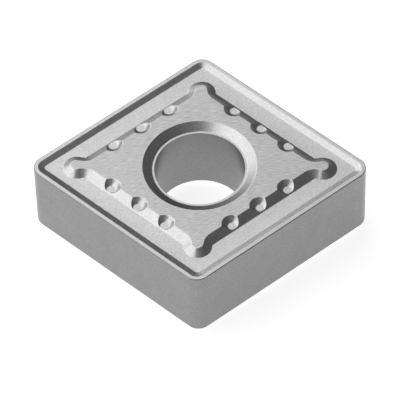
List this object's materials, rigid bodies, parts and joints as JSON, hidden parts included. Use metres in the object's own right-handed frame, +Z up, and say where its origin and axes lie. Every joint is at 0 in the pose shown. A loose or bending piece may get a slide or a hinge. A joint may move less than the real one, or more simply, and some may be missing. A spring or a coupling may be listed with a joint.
{
  "type": "turning insert",
  "caption": "Flat rhombic cutting insert with four rounded corners, a moulded chip groove and raised seat on both faces, and a countersunk through bore.",
  "frame": {"origin": "on the bore's axis, in the plane of the lower seat", "axes": "+Z up along the bore to the upper seat, X through the two acute corners, Y through the two obtuse corners"},
  "size_m": [0.0188, 0.016, 0.0049],
  "materials": {
    "cermet": "satin"
  },
  "bodies": {
    "root": {"insert": "cermet"}
  },
  "joints": []
}
